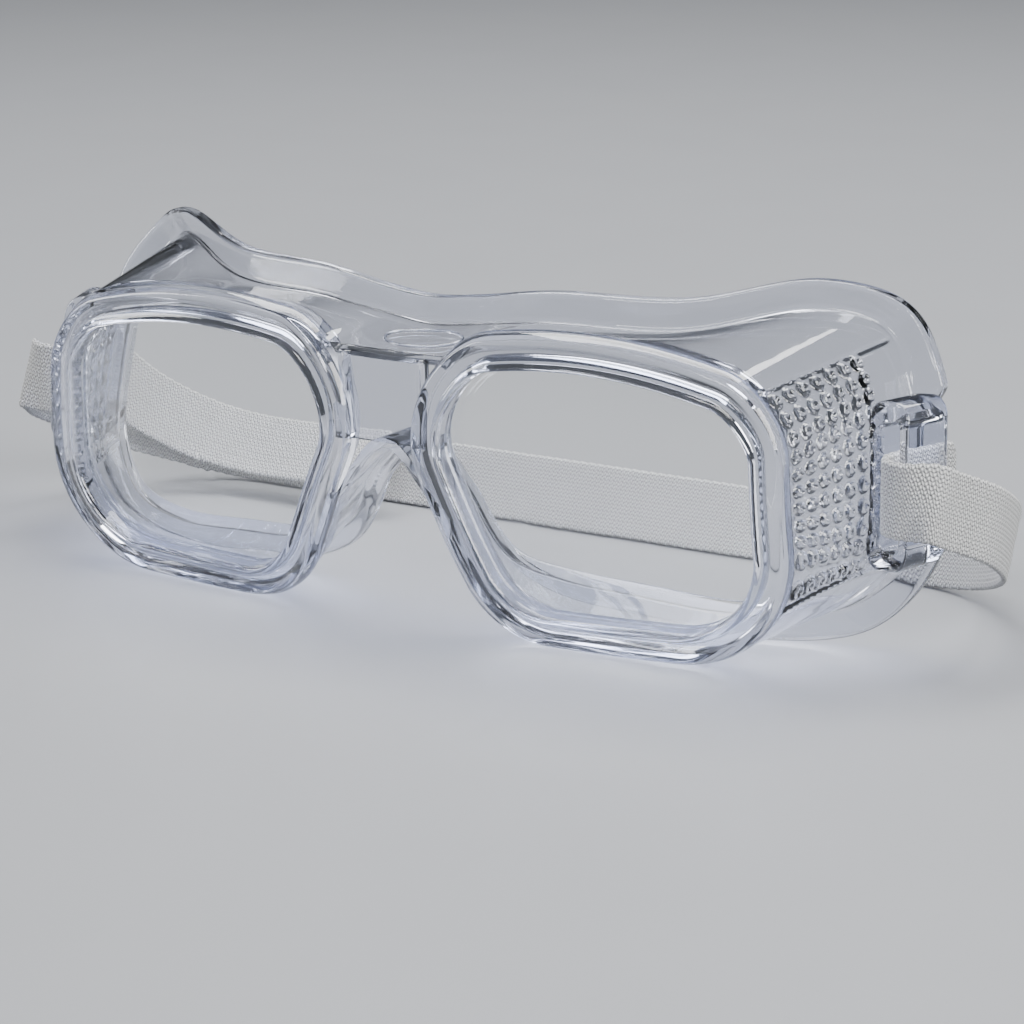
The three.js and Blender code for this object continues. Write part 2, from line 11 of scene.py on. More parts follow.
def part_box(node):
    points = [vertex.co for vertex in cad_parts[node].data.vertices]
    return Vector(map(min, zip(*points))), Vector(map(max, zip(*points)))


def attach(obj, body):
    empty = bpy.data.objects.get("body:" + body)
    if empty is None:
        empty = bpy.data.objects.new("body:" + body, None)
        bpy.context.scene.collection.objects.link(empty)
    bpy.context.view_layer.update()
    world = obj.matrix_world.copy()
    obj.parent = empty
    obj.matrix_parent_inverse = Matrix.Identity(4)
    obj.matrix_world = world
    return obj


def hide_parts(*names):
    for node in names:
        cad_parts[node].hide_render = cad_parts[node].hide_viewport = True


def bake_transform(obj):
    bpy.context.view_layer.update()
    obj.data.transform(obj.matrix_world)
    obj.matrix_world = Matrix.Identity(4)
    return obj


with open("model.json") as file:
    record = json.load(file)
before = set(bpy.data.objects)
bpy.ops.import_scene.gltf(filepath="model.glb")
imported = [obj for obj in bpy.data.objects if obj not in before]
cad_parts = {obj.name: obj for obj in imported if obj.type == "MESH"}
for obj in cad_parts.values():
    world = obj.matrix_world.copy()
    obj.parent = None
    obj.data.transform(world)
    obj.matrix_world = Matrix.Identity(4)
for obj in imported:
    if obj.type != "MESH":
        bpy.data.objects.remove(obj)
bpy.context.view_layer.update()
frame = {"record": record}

# ---- Camera ------------------------------------------------------------------------------------
# A long lens a little above the goggles and round to the wearer's left, looking across both eyes
# at the strap behind them.
camera_turn, camera_rise, camera_tip = np.radians([31.7347, 16.2062, -0.8595])
camera_distance = 0.5628
lens_length = 122.77
eye_line = Vector((0.02466, -0.03264, 0.02272))

away = Vector((np.sin(camera_turn) * np.cos(camera_rise),
               -np.cos(camera_turn) * np.cos(camera_rise),
               np.sin(camera_rise)))
level = Vector((np.cos(camera_turn), np.sin(camera_turn), 0.0))
upright = away.cross(level)
sideways = level * np.cos(camera_tip) + upright * np.sin(camera_tip)
overhead = upright * np.cos(camera_tip) - level * np.sin(camera_tip)
camera_data = bpy.data.cameras.new("camera")
camera_data.lens = lens_length
camera_data.sensor_width = 36.0
camera_data.clip_start = 0.01
camera = bpy.data.objects.new("camera", camera_data)
camera.matrix_world = Matrix((
    (sideways.x, overhead.x, away.x, eye_line.x + away.x * camera_distance),
    (sideways.y, overhead.y, away.y, eye_line.y + away.y * camera_distance),
    (sideways.z, overhead.z, away.z, eye_line.z + away.z * camera_distance),
    (0.0, 0.0, 0.0, 1.0),
))
bpy.context.scene.collection.objects.link(camera)
bpy.context.scene.camera = camera


# ---- Floor and lights --------------------------------------------------------------------------
# A plain pale board that the goggles stand on, with large soft lamps over and beside it. The room
# is dimmer than the lamps, so that the clear plastic has bright and dark things to show.
class Wire:
    """One output in a material; sums and products of wires and numbers add the Math nodes."""

    def __init__(self, paint, socket):
        self.paint, self.socket = paint, socket

    def reckon(self, operation, *values):
        return self.paint.add("ShaderNodeMath", {"operation": operation}, *values)

    def __add__(self, other):
        return self.reckon("ADD", self, other)

    def __sub__(self, other):
        return self.reckon("SUBTRACT", self, other)

    def __rsub__(self, other):
        return self.reckon("SUBTRACT", other, self)

    def __mul__(self, other):
        return self.reckon("MULTIPLY", self, other)

    def __pow__(self, other):
        return self.reckon("POWER", self, other)

    __radd__ = __add__
    __rmul__ = __mul__


class Paint:
    """A material whose nodes are added one call at a time."""

    def __init__(self, name):
        self.material = bpy.data.materials.new(name)
        self.material.use_nodes = True
        self.tree = self.material.node_tree
        self.tree.nodes.clear()

    def add(self, kind, settings=None, *values, out=0, **named):
        """A node of that kind: its settings first, then its sockets by order or by name."""
        node = self.tree.nodes.new(kind)
        for key, value in (settings or {}).items():
            if key == "stops":
                ramp = node.color_ramp.elements
                while len(ramp) < len(value):
                    ramp.new(0.5)
                for stop, (place, colour) in zip(ramp, value):
                    stop.position, stop.color = place, colour
            else:
                setattr(node, key, value)
        sockets = list(enumerate(values))
        sockets += [(key.replace("_", " "), value) for key, value in named.items()]
        for key, value in sockets:
            if isinstance(value, Wire):
                self.tree.links.new(value.socket, node.inputs[key])
            else:
                node.inputs[key].default_value = value
        return Wire(self, node.outputs[out]) if len(node.outputs) else None

    def finish(self, surface):
        self.add("ShaderNodeOutputMaterial", None, Surface=surface)
        return self.material


def place(name, mesh, material=None):
    """An object for a finished mesh, at the origin."""
    item = bpy.data.objects.new(name, mesh)
    bpy.context.scene.collection.objects.link(item)
    if material:
        mesh.materials.append(material)
    return item


board_half = 3.0
board_mesh = bpy.data.meshes.new("floor")
board_mesh.from_pydata([(-board_half, -board_half, 0), (board_half, -board_half, 0),
                        (board_half, board_half, 0), (-board_half, board_half, 0)], [], [(0, 1, 2, 3)])
board_paint = Paint("pale_board")
board_grain = board_paint.add("ShaderNodeTexNoise", None,
                              board_paint.add("ShaderNodeTexCoord", out="Object"), Scale=40.0)
board = place("floor", board_mesh, board_paint.finish(board_paint.add(
    "ShaderNodeBsdfPrincipled", None, Base_Color=(0.22, 0.226, 0.24, 1.0),
    Roughness=board_grain * 0.06 + 0.42)))

# Each lamp: where it stands, what it looks at, its two sides in metres, and its power in watts.
lamps = {
    "lamp_over": ((-0.10, 0.30, 0.80), (0.0, 0.0, 0.02), (0.8, 0.45), 20.0),
    "lamp_left": ((-0.80, -0.40, 0.38), (0.0, -0.01, 0.02), (0.25, 0.6), 7.0),
    "lamp_right": ((0.72, -0.10, 0.40), (0.05, 0.0, 0.02), (0.30, 0.5), 10.0),
    "lamp_front": ((0.25, -1.0, 0.75), (0.0, 0.0, 0.02), (0.6, 0.25), 7.0),
}
for lamp_name, (stand, look, sides, power) in lamps.items():
    lamp_data = bpy.data.lights.new(lamp_name, "AREA")
    lamp_data.shape = "RECTANGLE"
    lamp_data.size, lamp_data.size_y = sides
    lamp_data.energy = power
    lamp = bpy.data.objects.new(lamp_name, lamp_data)
    lamp.location = stand
    lamp.rotation_euler = (Vector(look) - Vector(stand)).to_track_quat("-Z", "Y").to_euler()
    bpy.context.scene.collection.objects.link(lamp)
room = bpy.data.worlds.new("room")
room.use_nodes = True
room.node_tree.nodes["Background"].inputs["Color"].default_value = (0.80, 0.84, 0.90, 1.0)
room.node_tree.nodes["Background"].inputs["Strength"].default_value = 0.12
bpy.context.scene.world = room


# ---- Clear PVC ---------------------------------------------------------------------------------
# The frame is one moulding of soft clear PVC, faintly lavender where it is thick, glossy from the
# mould with a slight ripple, and handled, so that its gloss varies from place to place.
def clear_paint(name, tint, gloss, ripple, ripple_height, shade):
    """Clear plastic that lamps shine through, dimmed by shade. gloss is how rough its worst spots
    are, ripple is in waves per metre and ripple_height in metres."""
    paint = Paint(name)
    spot = paint.add("ShaderNodeTexCoord", out="Object")
    wave = paint.add("ShaderNodeTexNoise", None, spot, Scale=ripple, Detail=2.0)
    smear = paint.add("ShaderNodeTexNoise", None, spot, Scale=ripple * 0.4, Detail=4.0)
    skin = paint.add("ShaderNodeBump", None, Strength=1.0, Distance=ripple_height, Height=wave)
    body = paint.add("ShaderNodeBsdfPrincipled", None, Base_Color=tint, IOR=1.5,
                     Transmission_Weight=1.0, Roughness=smear * gloss, Normal=skin)
    open_to_lamps = paint.add("ShaderNodeBsdfTransparent", None, Color=shade)
    by_lamp = paint.add("ShaderNodeLightPath", out="Is Shadow Ray")
    return paint.finish(paint.add("ShaderNodeMixShader", None, by_lamp, body, open_to_lamps))


pvc = clear_paint("clear_pvc", tint=(0.80, 0.825, 0.91, 1.0), gloss=0.07, ripple=160.0,
                  ripple_height=0.000018, shade=(0.80, 0.81, 0.86, 1.0))


def skin_mesh(name, points, round_u, round_v, lengths=None, crease=62.0):
    """Skin over a grid of points in millimetres: every four neighbours are a face.

    A round direction joins its last row to its first. One that isn't round is shut by a face at
    each end. lengths gives each grid line's place along u and along v, for the piece's own map.
    """
    rows, columns = points.shape[:2]
    index = np.arange(rows * columns).reshape(rows, columns)
    i, j = np.meshgrid(np.arange(rows if round_u else rows - 1),
                       np.arange(columns if round_v else columns - 1), indexing="ij")
    i, j = i.ravel(), j.ravel()
    corner_i = np.stack([i, i + 1, i + 1, i], 1)
    corner_j = np.stack([j, j, j + 1, j + 1], 1)
    quads = index[corner_i % rows, corner_j % columns]
    caps = []
    if not round_u:
        caps = [index[0, :], index[-1, ::-1]]
    elif not round_v:
        caps = [index[::-1, 0], index[:, -1]]
    flat = points.reshape(-1, 3)
    a, b, c, d = (flat[quads[:, k]] for k in range(4))
    volume = (np.cross(a, b) * c).sum() + (np.cross(a, c) * d).sum()
    for cap in caps:
        ring = flat[cap]
        volume += (np.cross(ring[0], ring[1:-1]) * ring[2:]).sum()
    if volume < 0:
        quads, corner_i, corner_j = quads[:, ::-1], corner_i[:, ::-1], corner_j[:, ::-1]
        caps = [cap[::-1] for cap in caps]
    mesh = bpy.data.meshes.new(name)
    mesh.from_pydata((flat * 0.001).tolist(), [], quads.tolist() + [cap.tolist() for cap in caps])
    mesh.polygons.foreach_set("use_smooth", np.ones(len(mesh.polygons), bool))
    mesh.set_sharp_from_angle(angle=np.radians(crease))
    if lengths:
        along, across = lengths
        chart = np.stack([along[corner_i], across[corner_j]], -1).reshape(-1, 2)
        for cap in caps:
            chart = np.vstack([chart, np.stack([along[cap // columns], across[cap % columns]], -1)])
        mesh.uv_layers.new(name="weave").data.foreach_set("uv", (chart * 0.001).ravel())
    mesh.update()
    return mesh


# The eye outline: a four-cornered shape with rounded corners, whose brow edge is arched.
eye_corners = np.array([(-14.2, -16.9), (-36.4, 30.2), (37.7, 31.4), (39.8, -16.0)])
corner_radius = np.array([17.7, 14.5, 10.8, 20.6])
arch_rise, arch_half, arch_start = 5.4, 33.0, 27.6

to_last = np.roll(eye_corners, 1, 0) - eye_corners
to_next = np.roll(eye_corners, -1, 0) - eye_corners
to_last /= np.linalg.norm(to_last, axis=1)[:, None]
to_next /= np.linalg.norm(to_next, axis=1)[:, None]
half_angle = np.arccos((to_last * to_next).sum(1)) / 2
arc_start = eye_corners + to_last * (corner_radius / np.tan(half_angle))[:, None]
arc_end = eye_corners + to_next * (corner_radius / np.tan(half_angle))[:, None]
bisector = (to_last + to_next) / np.linalg.norm(to_last + to_next, axis=1)[:, None]
arc_middle = eye_corners + bisector * (corner_radius / np.sin(half_angle))[:, None]
arc_from = np.arctan2(*(arc_start - arc_middle).T[::-1])
arc_turn = -(np.pi - 2 * half_angle)


def outline(turn):
    """The eye's edge, turn 0 to 8: straight on even pieces and a corner's arc on odd ones, then
    raised by arch_rise times 1 - (across / arch_half) squared towards the brow."""
    turn = np.mod(turn, 8.0)
    piece = np.minimum(turn.astype(int), 7)
    part = (turn - piece)[..., None]
    near = ((piece + 1) // 2) % 4
    straight = arc_end[near] * (1 - part) + arc_start[(near + 1) % 4] * part
    angle = arc_from[near] + arc_turn[near] * part[..., 0]
    bent = arc_middle[near] + corner_radius[near][..., None] * np.stack([np.cos(angle), np.sin(angle)], -1)
    edge = np.where((piece % 2 == 1)[..., None], bent, straight)
    share = np.clip(edge[..., 1] / arch_start, 0, 1.2)
    edge[..., 1] += arch_rise * share * (1 - (edge[..., 0] / arch_half) ** 2)
    return edge


def inset_outline(turn, inset):
    """The outline moved inwards, square to its own direction."""
    step = 0.01
    along = outline(turn + step) - outline(turn - step)
    along /= np.linalg.norm(along, axis=-1, keepdims=True)
    square = np.stack([along[..., 1], -along[..., 0]], -1)
    return outline(turn) + square * np.asarray(inset)[..., None]


# The bulged surface that rim and lens follow, turned back at the temple and leaning at the brow.
eye_wrap, eye_lean = np.radians([2.8, -7.6])
bulge_across, bulge_up = 0.004, 0.0087
rest_flat, ground_ease, well_above = 0.9, 0.35, 3.0
eye_across = np.array([np.cos(eye_wrap), np.sin(eye_wrap), 0.0])
eye_out = np.array([np.sin(eye_wrap) * np.cos(eye_lean), -np.cos(eye_wrap) * np.cos(eye_lean),
                    np.sin(eye_lean)])
eye_up = -np.cross(eye_across, eye_out)
eye_centre = np.array([34.0, -1.4, 0.0])


def on_eye(spot, out):
    """Centre + across + up + out, less the sag of across and up squared."""
    sag = 0.5 * bulge_across * spot[..., 0] ** 2 + 0.5 * bulge_up * spot[..., 1] ** 2
    return (eye_centre + spot[..., :1] * eye_across + spot[..., 1:] * eye_up
            + (np.asarray(out) - sag)[..., None] * eye_out)


# The rim's lowest point reaches rest_flat below the ground, where standing() presses it flat.
eye_centre[2] = -on_eye(outline(np.arange(56) / 7), 0)[:, 2].min() - rest_flat


def standing(points):
    """Soft plastic pressed flat by the ground: half of height + root(height squared + ground_ease
    squared), and untouched well above the ground."""
    height = points[..., 2:]
    pressed = (height + np.sqrt(height ** 2 + ground_ease ** 2)) / 2
    return np.concatenate([points[..., :2], np.where(height > well_above, height, pressed)], -1)


def smoothly(low, high, value):
    """0 below low, 1 above high, easing in between."""
    t = np.clip((value - low) / (high - low), 0, 1)
    return t * t * (3 - 2 * t)


def rounded(corners, cuts, steps):
    """A path round many corners at once: corners[..., k, :] is cut back by cuts[k] along both
    sides and the cut is bridged by a curve leaning on the corner (a quadratic Bezier)."""
    t = np.linspace(0, 1, steps)[:, None]
    runs = []
    for k, cut in enumerate(cuts):
        here = corners[..., k, :]
        before = corners[..., (k - 1) % len(cuts), :] - here
        after = corners[..., (k + 1) % len(cuts), :] - here
        start = here + before * cut / np.linalg.norm(before, axis=-1, keepdims=True)
        end = here + after * cut / np.linalg.norm(after, axis=-1, keepdims=True)
        start, here, end = start[..., None, :], here[..., None, :], end[..., None, :]
        runs.append(start * (1 - t) ** 2 + here * 2 * t * (1 - t) + end * t ** 2)
    return runs


# ---- Eye rims ----------------------------------------------------------------------------------
# Each eye has a thick rim moulded with the frame: a rounded outer edge, a shallow valley, a ridge
# round the opening, and a groove in the inner wall that the lens is pressed into.
rim_width, rim_depth, lens_setback, lens_thickness, lens_seat = 6.0, 7.0, 3.7, 1.8, 1.7
groove_room = 0.06
groove_floor = rim_width - lens_seat - groove_room
groove_front = -lens_setback + groove_room
groove_back = -lens_setback - lens_thickness - groove_room
rim_corners = np.array([
    (0.0, -1.5), (0.85, 0.0), (1.7, -0.05), (2.5, -0.5), (4.2, -0.62), (4.85, -0.2), (5.55, -0.3),
    (rim_width, -1.3), (rim_width, groove_front), (groove_floor, groove_front),
    (groove_floor, groove_back), (rim_width, groove_back), (rim_width - 0.6, -rim_depth),
    (1.75, -rim_depth), (1.75, -3.0), (0.0, -2.85),
])
rim_cuts = [0.8, 0.42, 0.42, 0.44, 0.35, 0.34, 0.34, 0.5, 0.3, 0.1, 0.1, 0.15, 0.5, 0.4, 0.1, 0.15]
rim_section = np.concatenate(rounded(rim_corners, rim_cuts, 5))

turn_steps = 240
turns = np.linspace(0, 8, turn_steps, endpoint=False)[:, None]
rim_points = standing(on_eye(inset_outline(np.repeat(turns, len(rim_section), 1), rim_section[:, 0]),
                             np.broadcast_to(rim_section[:, 1], (turn_steps, len(rim_section)))))
# The maker's frame starts at the eyes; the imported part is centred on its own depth.
to_row = np.array([0.0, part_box("left_lens_rim")[0].y * 1000 - rim_points[..., 1].min(), 0.0])
mirror = np.array([-1.0, 1.0, 1.0])
for side, flip in (("left", 1.0), ("right", mirror)):
    rim_name = f"{side}_eye_rim"
    rim = place(rim_name, skin_mesh(rim_name, (rim_points + to_row) * flip, True, True), pvc)
    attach(rim, "frame")
    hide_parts(f"{side}_lens_rim")


# ---- Lenses ------------------------------------------------------------------------------------
# Clear hard lenses, bulged like the rims, pressed into the rims' grooves from the front. They are
# harder and smoother than the frame, with no colour of their own.
lens_paint = clear_paint("clear_lens", tint=(0.97, 0.98, 0.985, 1.0), gloss=0.03, ripple=60.0,
                         ripple_height=0.00001, shade=(0.93, 0.94, 0.95, 1.0))
lens_edge = rim_width - lens_seat
shares = np.array([0.04, 0.25, 0.5, 0.75, 0.9, 0.97, 0.995, 1.0])
lens_share = np.concatenate([shares, [1.0], shares[::-1]])
flat_steps = len(shares) - 1
lens_out = -lens_setback - lens_thickness * np.concatenate(
    [np.zeros(flat_steps), [0.12, 0.5, 0.88], np.ones(flat_steps)])
lens_points = on_eye(inset_outline(np.repeat(turns, len(lens_share), 1), lens_edge) * lens_share[:, None],
                     np.broadcast_to(lens_out, (turn_steps, len(lens_share))))
for side, flip in (("left", 1.0), ("right", mirror)):
    lens_name = f"{side}_clear_lens"
    lens = place(lens_name, skin_mesh(lens_name, (lens_points + to_row) * flip, True, False), lens_paint)
    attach(lens, "frame")
    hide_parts(f"{side}_lens")


# ---- Skirt -------------------------------------------------------------------------------------
# The soft wall that runs back from both rims to the face and flares into a lip there. Its sides
# carry rows of moulded vent nubs, each with a pin hole, between two raised lines.
skirt_turns = np.array([1.68, 1.68, 2, 2.5, 3, 3.5, 4, 4.5, 5, 5.5, 6, 6.5, 7, 7.5, 8, 8.3, 9.05])
face_points = np.array([
    (0, 15, 52.8), (9, 15.3, 53.6), (21.3, 17, 55.2), (43.8, 23, 55.2), (63.4, 32.5, 58.5),
    (75, 39.6, 54), (82.2, 37.4, 44.5), (85.3, 35, 29.3), (84.6, 31.2, 14), (76, 26.8, 3.2),
    (57, 20.8, 0.1), (38, 17.6, 1.9), (25, 16.4, 3.6), (15.8, 14.2, 8.5), (10.8, 12.8, 15),
    (6.8, 11.8, 22.4), (0, 11.4, 27.4),
])
last = len(face_points) - 1
lug_station, nose_station = 7.0, 12.0
arch_crossing = 0.56  # the wall crosses under the nose from rim to rim over this much of a station
face_loop = np.concatenate([face_points, face_points[-2:0:-1] * mirror])
wall_thickness, wall_inset, wall_start = 1.8, 0.1, -2.7
web_gap, web_over, bridge_setback = 0.4, 0.9, 2.0
lip_width, lip_at_lug, lip_at_nose, lip_thickness, lip_rake = 5.2, 2.4, 2.2, 2.0, 1.2
bridge_top, bridge_bottom = 45.8, 31.0
bridge_front = on_eye(outline(np.array([0.9])), -bridge_setback)[0, 1]


def through(knots, share, closed=False):
    """A smooth path through the knots (a Catmull-Rom curve whose knots are spaced by the square
    root of their distances), at shares 0 to 1 of its length in knots."""
    count = len(knots)
    if closed:
        spot = np.mod(share, 1.0) * count
        knot = np.minimum(spot.astype(int), count - 1)
        p0, p1, p2, p3 = (knots[(knot + k) % count] for k in (-1, 0, 1, 2))
    else:
        padded = np.concatenate([[2 * knots[0] - knots[1]], knots, [2 * knots[-1] - knots[-2]]])
        spot = np.clip(share, 0, 1) * (count - 1)
        knot = np.minimum(spot.astype(int), count - 2)
        p0, p1, p2, p3 = (padded[knot + k] for k in (0, 1, 2, 3))
    t = (spot - knot)[..., None]
    d0, d1, d2 = (np.linalg.norm(q - p, axis=-1, keepdims=True) ** 0.5
                  for p, q in ((p0, p1), (p1, p2), (p2, p3)))
    leave = ((p1 - p0) / d0 - (p2 - p0) / (d0 + d1) + (p2 - p1) / d1) * d1
    arrive = ((p2 - p1) / d1 - (p3 - p1) / (d1 + d2) + (p3 - p2) / d2) * d1
    return (p1 + leave * t + (3 * (p2 - p1) - 2 * leave - arrive) * t ** 2
            + (2 * (p1 - p2) + leave + arrive) * t ** 3)


def half_way(station):
    """The station on the wearer's left that a station of the whole loop mirrors, and the side."""
    station = np.mod(station, 2 * last)
    left = station <= last
    return np.where(left, station, 2 * last - station), np.where(left, 1.0, -1.0)


def face_edge(station):
    return through(face_loop, station / (2 * last), closed=True)


def rim_back(station, inset=wall_inset, out=wall_start):
    """Where the wall leaves the rim; between the rims it crosses over to the bridge web, its
    distance from the middle falling evenly and the rest easing in."""
    half, side = half_way(station)
    turn = np.interp(half, np.arange(last + 1), skirt_turns)
    point = on_eye(inset_outline(turn, np.full(turn.shape, inset)), np.full(turn.shape, out))
    to_brow, to_arch = 1 - half, (half - last) / arch_crossing + 1
    across = point[..., 0] * (1 - np.clip(to_brow, 0, 1)) * (1 - np.clip(to_arch, 0, 1))
    for near, height in ((to_brow, bridge_top + web_over), (to_arch, bridge_bottom - web_over)):
        ease = smoothly(0, 1, near)[..., None]
        point = point * (1 - ease) + np.array([0.0, bridge_front + web_gap, height]) * ease
    return np.stack([across * side, point[..., 1], point[..., 2]], -1)


def inward(station):
    """Into the goggles, square to the wall: back along the wall crossed with round the loop."""
    step = 0.2
    along = (rim_back(station + step) + face_edge(station + step)
             - rim_back(station - step) - face_edge(station - step))
    back = (face_edge(station) - rim_back(station)) * np.array([0.0, 1.0, 1.0])
    square = np.cross(back + np.array([0.0, 0.001, 0.0]), along)
    return square / np.linalg.norm(square, axis=-1, keepdims=True)


def lip_width_full(station):
    half, _ = half_way(station)
    return lip_width + (lip_at_nose - lip_width) * smoothly(nose_station, nose_station + 2, half)


def lip_width_here(station):
    half, _ = half_way(station)
    from_lug = smoothly(0.55, 0.85, np.abs(half - lug_station))
    return lip_at_lug + (lip_width_full(station) - lip_at_lug) * from_lug


def lip_root(station):
    return (face_edge(station) + inward(station) * lip_width_full(station)[..., None]
            - np.array([0.0, lip_rake, 0.0]))


vent_rows, vent_columns, vent_edge = 11, 7, 0.052
vent_front, vent_rear = 0.06, 0.69
vent_top, vent_bottom = np.array([4.72, 5.25]), np.array([8.66, 8.07])
nub_radius, nub_height, pin_radius, pin_depth = 1.38, 0.85, 0.55, 0.8
line_height, line_width = 0.4, 0.3


def vent_height(half, back, wall_length, loop_pitch):
    """How far the side wall stands out: a dome at each place of a lattice that fans out to the
    rear, less a pin hole at its middle, and a raised line above and below the lattice."""
    top = vent_top[0] + (vent_top[1] - vent_top[0]) * back
    bottom = vent_bottom[0] + (vent_bottom[1] - vent_bottom[0]) * back
    row = ((half - top) / (bottom - top) - vent_edge) / (1 - 2 * vent_edge) * (vent_rows - 1)
    column = (back - vent_front) / (vent_rear - vent_front) * (vent_columns - 1)
    row_off = row - np.clip(np.round(row), 0, vent_rows - 1)
    column_off = column - np.clip(np.round(column), 0, vent_columns - 1)
    row_pitch = (bottom - top) * (1 - 2 * vent_edge) / (vent_rows - 1) * loop_pitch
    off = np.hypot(row_off * row_pitch,
                   column_off * (vent_rear - vent_front) / (vent_columns - 1) * wall_length)
    dome = nub_height * np.sqrt(np.clip(1 - (off / nub_radius) ** 2, 0, 1))
    pin = pin_depth * np.clip(1 - (off / pin_radius) ** 2, 0, 1)
    edge = np.minimum(np.abs(half - top), np.abs(half - bottom)) * loop_pitch
    return dome - pin + line_height * np.exp(-(edge / line_width) ** 2)


# The skirt's stations, close together where the nubs are.
nubs_from, nubs_to = 4.6, 8.8
plain = np.arange(0, 2 * last, 1 / 12)
plain = plain[(half_way(plain)[0] < nubs_from) | (half_way(plain)[0] > nubs_to)]
fine = np.arange(nubs_from + 0.02, nubs_to - 0.01, 0.031)
loop = np.sort(np.concatenate([plain, fine, 2 * last - fine]))
front = rim_back(loop)
root = lip_root(loop)
into = inward(loop)
sideways_out = -into
eye_axis = eye_out * np.stack([half_way(loop)[1], np.ones_like(loop), np.ones_like(loop)], -1)
level_in = into - (into * eye_axis).sum(-1, keepdims=True) * eye_axis
level_in /= np.linalg.norm(level_in, axis=-1, keepdims=True)
lip_out = root + sideways_out * lip_width_here(loop)[:, None] + np.array([0.0, lip_rake, 0.0])
lip_flare = np.array([0.0, 0.45, 0.0])
skirt_corners = np.stack([
    front,
    root,
    lip_out - lip_flare,
    lip_out + lip_flare + np.array([0.0, lip_thickness, 0.0]),
    root + into * wall_thickness + np.array([0.0, lip_thickness, 0.0]),
    front + level_in * wall_thickness,
], 1)
bends = rounded(skirt_corners, [0.2, 1.1, 0.95, 0.95, 1.0, 0.2], 7)
wall_share = np.concatenate([np.linspace(0, 0.75, 74)[1:], np.linspace(0.75, 1, 8)[1:-1]])
wall_run = (bends[0][:, -1:, :] * (1 - wall_share[:, None]) + bends[1][:, :1, :] * wall_share[:, None])
half_loop, _ = half_way(loop)
wall_length = np.linalg.norm(bends[1][:, 0] - bends[0][:, -1], axis=-1)[:, None]
wall_middle = wall_run[:, len(wall_share) // 2]
loop_pitch = (np.linalg.norm(np.roll(wall_middle, -1, 0) - np.roll(wall_middle, 1, 0), axis=-1)
              / np.mod(np.roll(loop, -1) - np.roll(loop, 1), 2 * last))[:, None]
stand = vent_height(half_loop[:, None], wall_share, wall_length, loop_pitch)
wall_run = wall_run + sideways_out[:, None, :] * stand[..., None]
inner_share = np.linspace(0, 1, 14)[1:-1, None]
inner_run = bends[4][:, -1:, :] * (1 - inner_share) + bends[5][:, :1, :] * inner_share
skirt_points = standing(np.concatenate(
    [bends[0], wall_run, bends[1], bends[2], bends[3], bends[4], inner_run, bends[5]], 1))
skirt = place("skirt", skin_mesh("skirt", skirt_points + to_row, True, True), pvc)
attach(skirt, "frame")
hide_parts("brow_centre", "nose_arch", "brow_lip", *(
    f"{side}_{part}" for side in ("left", "right")
    for part in ("brow_wall", "temple_wall", "cheek_corner", "cheek_wall", "nose_wall", "temple_lip",
                 "side_lip", "cheek_lip", "nose_lip", "vent_wall")))


# ---- Brow oval ---------------------------------------------------------------------------------
# A plain oval bead of the same PVC on top of the brow, where the mould carries a badge; it is left
# blank here.
oval_middle, oval_reach, oval_bead = (0.30, 0.46), (0.66, 0.27), 0.32
round_oval = np.linspace(0, 2 * np.pi, 96, endpoint=False)


def brow_place(angle, grow):
    """A point of the skirt's outer side on the oval, grown by a share of its size."""
    station = oval_middle[0] + oval_reach[0] * grow * np.cos(angle)
    back = (oval_middle[1] + oval_reach[1] * grow * np.sin(angle))[:, None]
    return rim_back(station) * (1 - back) + lip_root(station) * back


oval = brow_place(round_oval, 1.0)
oval_side = brow_place(round_oval, 1.05) - oval
oval_side /= np.linalg.norm(oval_side, axis=-1, keepdims=True)
oval_out = np.cross(oval_side, np.gradient(oval, axis=0))
oval_out /= np.linalg.norm(oval_out, axis=-1, keepdims=True)
bead_turn = np.linspace(0, 2 * np.pi, 12, endpoint=False)[:, None]
oval_points = (oval[:, None] + oval_bead * (np.cos(bead_turn) * oval_side[:, None]
                                            + np.sin(bead_turn) * oval_out[:, None]))
brow_oval = place("brow_oval", skin_mesh("brow_oval", oval_points + to_row, True, True), pvc)
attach(brow_oval, "frame")


# ---- Bridge web --------------------------------------------------------------------------------
# A clear window between the two rims, with a thick rib down each side of it, moulded with the
# frame. Its edges are sunk a little into the rims.
web_sunk, web_from, web_to = 0.2, 0.5, 1.6
rib_height, rib_inset, rib_half = 0.9, 1.5, 0.6
web_heights = np.concatenate([[0.0, 0.02, 0.06], np.linspace(0.1, 0.9, 14), [0.94, 0.98, 1.0]])
web_z = bridge_bottom + (bridge_top - bridge_bottom) * web_heights
nose_side = on_eye(outline(np.linspace(-1, 2, 200)), np.full(200, -bridge_setback))[:120]
nose_side = nose_side[np.argsort(nose_side[:, 2])]
web_half = np.interp(web_z, nose_side[:, 2], nose_side[:, 0]) + web_sunk
web_x = np.concatenate([np.linspace(-1, 1, 41), np.linspace(1, -1, 21)[1:-1]])
front_face = np.concatenate([np.ones(41, bool), np.zeros(19, bool)])
from_side = (1 - np.abs(web_x))[None, :] * web_half[:, None]
rib = rib_height * np.exp(-((from_side - rib_inset) / rib_half) ** 2)
taper = np.clip(web_heights * 20, 0, 1)[:, None] * np.clip((1 - web_heights) * 30, 0, 1)[:, None]
web_front = bridge_front + web_from - rib * taper
web_y = np.where(front_face, web_front, bridge_front + web_to + 0 * web_front)
web_points = np.stack([web_x * web_half[:, None], web_y, np.repeat(web_z[:, None], len(web_x), 1)], -1)
web = place("bridge_window", skin_mesh("bridge_window", web_points + to_row, False, True), pvc)
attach(web, "frame")
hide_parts("bridge_web")


